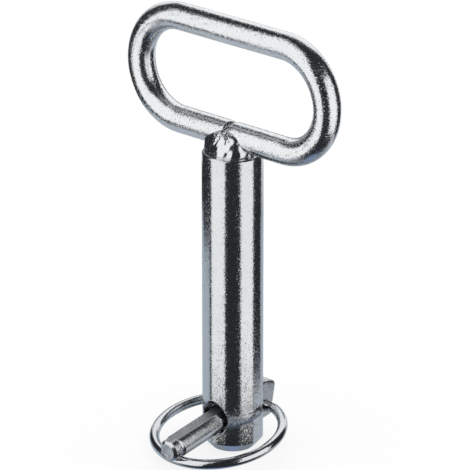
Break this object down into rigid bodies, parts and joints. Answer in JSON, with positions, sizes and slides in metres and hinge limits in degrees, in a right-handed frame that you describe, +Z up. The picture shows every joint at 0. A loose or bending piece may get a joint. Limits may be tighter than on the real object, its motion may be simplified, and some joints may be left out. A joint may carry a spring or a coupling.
{
  "type": "hitch pin",
  "caption": "Hitch pin: a round steel shaft with a loop handle welded on top, and a linch pin through its lower end that a hinged spring ring locks.",
  "frame": {"origin": "The centre of the flat lower end of the shaft, on which the part stands.", "axes": "+Z runs up the shaft towards the handle. The handle lies in the X-Z plane. The linch pin runs along Y, with its tip towards -Y and its head towards +Y."},
  "size_m": [0.1102, 0.0628, 0.1856],
  "materials": {
    "zinc_shaft": "bright zinc plating on turned steel, with a fine sparkling grain",
    "zinc_bar": "bright zinc plating on drawn round bar, with a bluish tint",
    "zinc_weld": "glossy zinc plating over a smooth weld with a few wrinkles",
    "zinc_forging": "zinc plating on a forged pin, grainy on its flat",
    "zinc_wire": "bright zinc plating on smooth spring wire"
  },
  "bodies": {
    "shaft_and_handle": {"pin_shaft": "zinc_shaft", "handle": "zinc_bar", "weld_bead": "zinc_weld"},
    "linch": {"linch_pin": "zinc_forging"},
    "ring": {"spring_ring": "zinc_wire"}
  },
  "joints": [
    {"name": "linch_slide", "type": "slide", "parent": "shaft_and_handle", "child": "linch", "axis": [0, 0.9911, 0.1331], "range_m": [0, 0.019]},
    {"name": "ring_hinge", "type": "hinge", "parent": "linch", "child": "ring", "pos_m": [0, 0.01573, 0.01277], "axis": [1, 0, 0], "range_deg": [0, 250], "stiffness_Nm_per_rad": 0.02, "springref_deg": -57.3}
  ]
}
